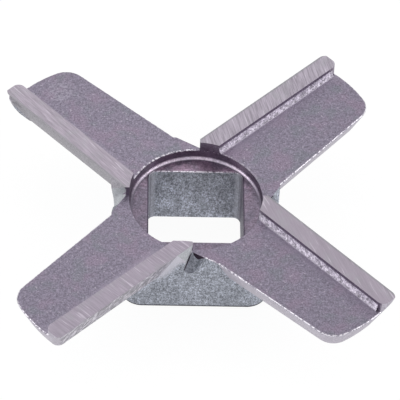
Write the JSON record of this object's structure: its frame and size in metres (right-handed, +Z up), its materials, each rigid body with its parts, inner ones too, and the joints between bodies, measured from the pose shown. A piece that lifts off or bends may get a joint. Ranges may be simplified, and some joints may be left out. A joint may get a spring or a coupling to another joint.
{
  "type": "meat grinder knife",
  "caption": "Cross-shaped cast grinder knife: a square-holed hub on a tapered foot, with a round recess on top and flat arms, each with a raised ground cutting land.",
  "frame": {"origin": "centre of the square drive hole in the plane of the hub's bottom face", "axes": "+Z up the axis the knife turns about, from the hub's bottom face to the cutting lands; X and Y square to the flats of the drive hole, with the arms on the diagonals"},
  "size_m": [0.0406, 0.0406, 0.0096],
  "materials": {
    "knife": "matt grit-blasted casting, ground bright on the cutting lands"
  },
  "bodies": {
    "root": {"knife": "knife"}
  },
  "joints": []
}
